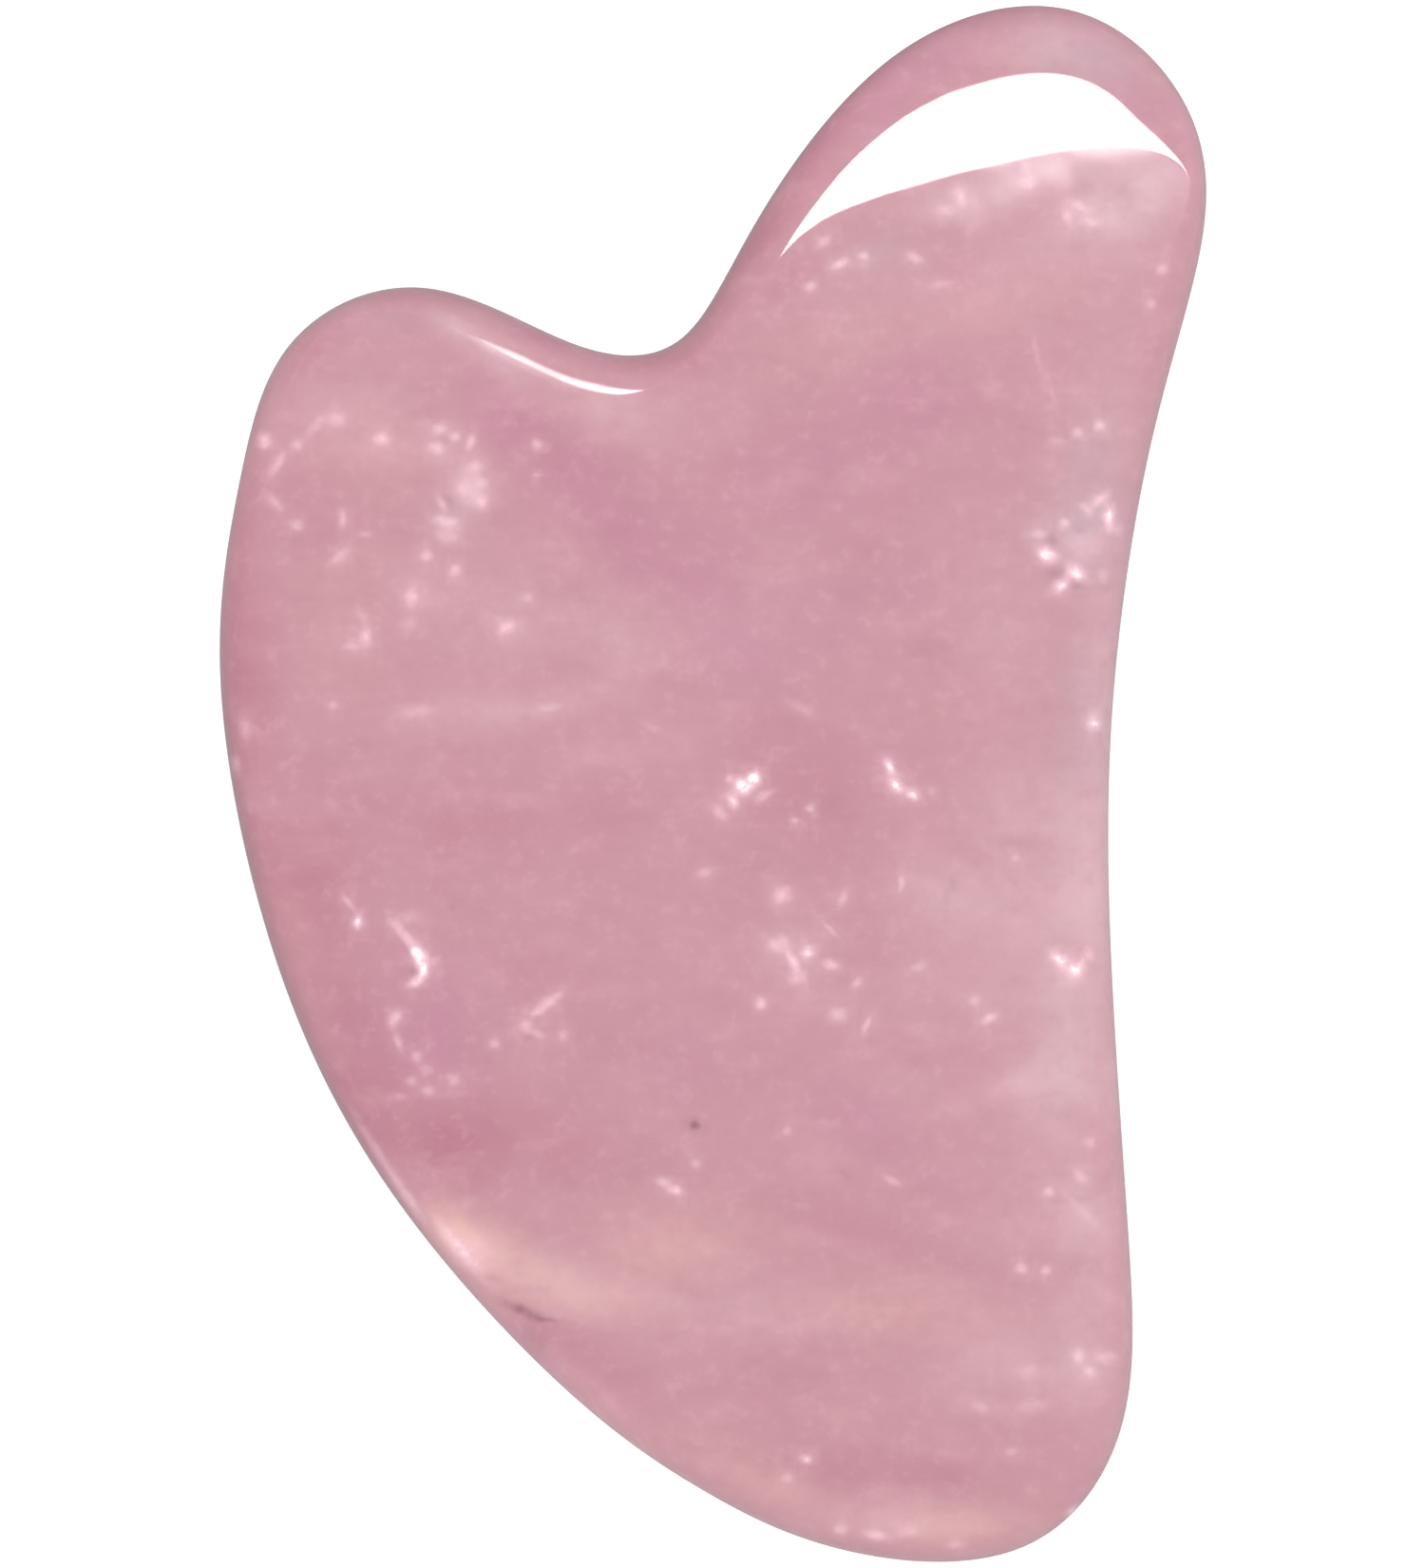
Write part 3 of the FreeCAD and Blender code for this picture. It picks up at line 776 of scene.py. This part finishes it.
BODY = (0.567, 0.302, 0.347)
TINTS = {
    "milk": (0.770, 0.545, 0.585),
    "rose": (0.482, 0.192, 0.255),
    "mauve": (0.526, 0.234, 0.340),
    "mist": (0.520, 0.366, 0.415),
    "peach": (0.733, 0.450, 0.415),
}
PALE = (0.738, 0.431, 0.486)
SHADE = (0.463, 0.225, 0.269)
# The deeper colour at the edge, darker still to paint shade there.
DEEP_AND_SHADED = (0.290, 0.136, 0.168)
BLUSH = (0.990, 0.670, 0.750)
WHITE = (0.980, 0.940, 0.950)
STAIN = (0.240, 0.090, 0.120)
QUARTZ_IOR = 1.54
POLISH = (0.040, 0.070)  # roughness, between the best of the polish and its faint smears
PEEL_HEIGHT = 0.012  # of the faint orange peel, in millimetres
SCATTERED = 0.4  # share of the light that scatters inside the stone
SCATTER_RADIUS = (1.5, 1.1, 1.2)  # in millimetres, by colour


class Graph:
    """Adds nodes to a material. An input is a number, a vector, a colour or another output."""

    def __init__(self, material):
        self.tree = material.node_tree

    def node(self, kind, inputs, **settings):
        made = self.tree.nodes.new(kind)
        for name, value in settings.items():
            setattr(made, name, value)
        for name, value in inputs.items():
            if isinstance(value, bpy.types.NodeSocket):
                self.tree.links.new(value, made.inputs[name])
            elif isinstance(value, tuple) and len(value) == 3 and made.inputs[name].type == "RGBA":
                made.inputs[name].default_value = (*value, 1.0)
            else:
                made.inputs[name].default_value = value
        return made

    def math(self, operation, *values):
        inputs = dict(enumerate(values))
        return self.node("ShaderNodeMath", inputs, operation=operation).outputs[0]

    def ramp(self, value, low, high, to_low=0.0, to_high=1.0):
        """value, eased from to_low at low to to_high at high."""
        inputs = {
            "Value": value,
            "From Min": low,
            "From Max": high,
            "To Min": to_low,
            "To Max": to_high,
        }
        return self.node("ShaderNodeMapRange", inputs, interpolation_type="SMOOTHSTEP").outputs[0]

    def mix(self, share, colour, other):
        inputs = {0: share, 6: colour, 7: other}
        return self.node("ShaderNodeMix", inputs, data_type="RGBA").outputs[2]

    def attribute(self, name):
        return self.node("ShaderNodeAttribute", {}, attribute_name=name).outputs["Fac"]

    def noise(self, place, size, detail, roughness=0.5, distortion=0.0):
        """Noise about as large as size, from 0 to 1."""
        inputs = {
            "Vector": place,
            "Scale": 1 / size,
            "Detail": detail,
            "Roughness": roughness,
            "Distortion": distortion,
        }
        return self.node("ShaderNodeTexNoise", inputs).outputs["Fac"]

    def mapping(self, vector, turn=(0, 0, 0), scale=(1, 1, 1), place=(0, 0, 0)):
        inputs = {"Vector": vector, "Location": place, "Rotation": turn, "Scale": scale}
        return self.node("ShaderNodeMapping", inputs).outputs[0]


def rose_quartz():
    """Milky rose quartz: clouds of paler, deeper and warmer stone, wisps, feathers and stains, with
    painted shade at the edge and a painted glow round the notch's highlight.
    """
    material = bpy.data.materials.new("rose_quartz")
    material.use_nodes = True
    graph = Graph(material)
    shader = material.node_tree.nodes["Principled BSDF"]
    link = material.node_tree.links.new

    corner = graph.node("ShaderNodeTexCoord", {}).outputs["Object"]
    place = graph.mapping(corner, scale=(1 / MM,) * 3)

    # Clouds: the masks, made uneven by noise of their own size.
    uneven = graph.noise(place, 3.2, 3.0, 0.55, 0.4)
    strength = graph.ramp(uneven, 0.25, 0.75, 0.65, 1.35)
    colour = BODY
    for tint, tint_colour in TINTS.items():
        share = graph.math("MULTIPLY", graph.attribute(tint), strength)
        colour = graph.mix(share, colour, tint_colour)

    # Wisps: long faint streaks along one direction, paler and deeper.
    tilt = (0, 0, math.radians(-7))
    grain = graph.mapping(place, turn=tilt, scale=(0.45, 1.0, 0.8), place=(3.1, 7.7, 0))
    wisps = graph.noise(grain, 2.2, 3.0, 0.55, 0.25)
    colour = graph.mix(graph.ramp(wisps, 0.50, 0.80, 0.0, 0.28), colour, PALE)
    colour = graph.mix(graph.ramp(wisps, 0.50, 0.20, 0.0, 0.30), colour, SHADE)
    mottle = graph.noise(place, 0.8, 2.0, 0.55)
    colour = graph.mix(graph.ramp(mottle, 0.50, 0.80, 0.0, 0.26), colour, PALE)
    colour = graph.mix(graph.ramp(mottle, 0.50, 0.20, 0.0, 0.16), colour, SHADE)

    # The edge: the stone looks deeper where it is seen through it, and painted shade darkens it
    # further, most on the left.
    colour = graph.mix(graph.attribute("edge"), colour, DEEP_AND_SHADED)

    # Feathers: blush where they are faint and white where they are dense, and uneven throughout.
    crumbs = graph.noise(place, 0.5, 2.0, 0.55, 0.5)
    broken = graph.ramp(crumbs, 0.30, 0.65, 0.75, 1.10)
    feather = graph.math("MULTIPLY", graph.attribute("feather"), broken)
    colour = graph.mix(graph.math("MULTIPLY", feather, 1.1), colour, BLUSH)
    colour = graph.mix(graph.ramp(feather, 0.55, 1.0), colour, WHITE)
    dark = graph.math("MULTIPLY", graph.attribute("dark"), broken)
    colour = graph.mix(dark, colour, STAIN)
    link(colour, shader.inputs["Base Color"])

    # Polish: nearly a mirror, with faint smears, a duller notch and a faint orange peel.
    smears = graph.noise(place, 6.0, 4.0, 0.6, 1.0)
    roughness = graph.ramp(smears, 0.35, 0.75, *POLISH)
    roughness = graph.math("ADD", roughness, graph.attribute("dull"))
    link(roughness, shader.inputs["Roughness"])
    peel = graph.noise(place, 3.5, 1.0, 0.4)
    bump = graph.node("ShaderNodeBump", {"Height": peel, "Distance": PEEL_HEIGHT * MM})
    link(bump.outputs["Normal"], shader.inputs["Normal"])

    shader.inputs["IOR"].default_value = QUARTZ_IOR
    shader.inputs["Subsurface Weight"].default_value = SCATTERED
    shader.inputs["Subsurface Radius"].default_value = SCATTER_RADIUS
    shader.inputs["Subsurface Scale"].default_value = MM
    return material


# ---------------------------------------------------------------------------------------------
# The studio
# ---------------------------------------------------------------------------------------------

FRAME_HEIGHT = 82.5 * MM  # what the camera sees, top to bottom, level with mid thickness
LENS = 400.0  # millimetres, on a sensor 36 mm long
SENSOR = 36.0
SOFT_BOX_X = (-142 * MM, 76 * MM)
SOFT_BOX_Y = (52 * MM, 313 * MM)
SOFT_BOX_HEIGHT = 500 * MM
SOFT_BOX_ROUND = 70 * MM  # the radius of its two far corners
SOFT_BOX_GLOW = 17.5  # in the polish
SOFT_BOX_POWER = 0.6  # in the stone
SURROUND = 0.42  # how bright everything else is in the polish
FLOOR_SIZE = 1.6
FLOOR_DROP = 0.02 * MM
FLOOR_GREY = 0.85
FLOOR_GLOW = 0.45
DOME_RADIUS = 2.5
DOME_GLOW = 0.98


def soft_lamp():
    """The soft box as it lights the stone, over the far end, above the lobes."""
    lamp = bpy.data.lights.new("soft_lamp", "AREA")
    lamp.shape = "RECTANGLE"
    lamp.size = SOFT_BOX_X[1] - SOFT_BOX_X[0]
    lamp.size_y = SOFT_BOX_Y[1] - SOFT_BOX_Y[0]
    lamp.energy = SOFT_BOX_POWER
    holder = bpy.data.objects.new("soft_lamp", lamp)
    holder.location = (sum(SOFT_BOX_X) / 2, sum(SOFT_BOX_Y) / 2, SOFT_BOX_HEIGHT)
    holder.visible_camera = False
    holder.visible_glossy = False
    bpy.context.scene.collection.objects.link(holder)


def soft_box():
    """The soft box as the polish shows it, which makes the white shapes: a bright panel."""
    (left, right), (near, far) = SOFT_BOX_X, SOFT_BOX_Y
    outline = [(left, near), (right, near)]
    for middle, start in ((right - SOFT_BOX_ROUND, 0), (left + SOFT_BOX_ROUND, 90)):
        for angle in range(start, start + 91, 10):
            cos, sin = math.cos(math.radians(angle)), math.sin(math.radians(angle))
            outline.append((middle + SOFT_BOX_ROUND * cos, far - SOFT_BOX_ROUND * (1 - sin)))
    mesh = bpy.data.meshes.new("soft_box")
    corners = [(x, y, SOFT_BOX_HEIGHT) for x, y in outline]
    mesh.from_pydata(corners, [], [list(range(len(corners)))])
    mesh.materials.append(plain("soft_box", 0.0, SOFT_BOX_GLOW))
    panel = bpy.data.objects.new("soft_box", mesh)
    panel.visible_camera = False
    panel.visible_diffuse = False
    panel.visible_shadow = False
    bpy.context.scene.collection.objects.link(panel)


def surround():
    """The dim grey that the rest of the polish shows."""
    world = bpy.data.worlds.new("surround")
    world.use_nodes = True
    background = world.node_tree.nodes["Background"]
    background.inputs["Color"].default_value = (1, 1, 1, 1)
    background.inputs["Strength"].default_value = SURROUND
    bpy.context.scene.world = world


def plain(name, grey, glow):
    """A plain matt material for the stage: how much light it throws back, and its own white glow."""
    material = bpy.data.materials.new(name)
    material.use_nodes = True
    shader = material.node_tree.nodes["Principled BSDF"]
    shader.inputs["Base Color"].default_value = (grey, grey, grey, 1)
    shader.inputs["Roughness"].default_value = 1.0
    shader.inputs["Specular IOR Level"].default_value = 0.0
    shader.inputs["Emission Color"].default_value = (1, 1, 1, 1)
    shader.inputs["Emission Strength"].default_value = glow
    return material


def floor():
    bpy.ops.mesh.primitive_plane_add(size=FLOOR_SIZE, location=(0, 0, -FLOOR_DROP))
    ground = bpy.context.object
    ground.name = "floor"
    ground.data.materials.append(plain("floor", FLOOR_GREY, FLOOR_GLOW))
    ground.visible_glossy = False


def dome():
    """A pale backdrop all round, which lights the stone evenly and isn't seen in the polish."""
    bpy.ops.mesh.primitive_uv_sphere_add(radius=DOME_RADIUS, segments=64, ring_count=32)
    backdrop = bpy.context.object
    backdrop.name = "backdrop"
    backdrop.data.materials.append(plain("backdrop", 0.0, DOME_GLOW))
    backdrop.visible_glossy = False
    backdrop.visible_transmission = False
    backdrop.visible_volume_scatter = False
    backdrop.visible_shadow = False


def camera():
    """Straight down on the stone's face, its length upright in the picture."""
    lens = bpy.data.cameras.new("camera")
    lens.lens = LENS
    lens.sensor_width = SENSOR
    low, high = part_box(NODE)
    eye = bpy.data.objects.new("camera", lens)
    distance = FRAME_HEIGHT * LENS / SENSOR
    eye.location = (0, 0, (low.z + high.z) / 2 + distance)
    lens.clip_end = 2 * DOME_RADIUS
    bpy.context.scene.collection.objects.link(eye)
    bpy.context.scene.camera = eye


def stone():
    blade = bpy.data.objects.new("rose_quartz_stone", stone_mesh())
    bpy.context.scene.collection.objects.link(blade)
    blade.data.materials.append(rose_quartz())
    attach(blade, "root")
    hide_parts(NODE)


camera()
soft_lamp()
soft_box()
surround()
floor()
dome()
stone()
bpy.context.scene.view_settings.view_transform = "Standard"
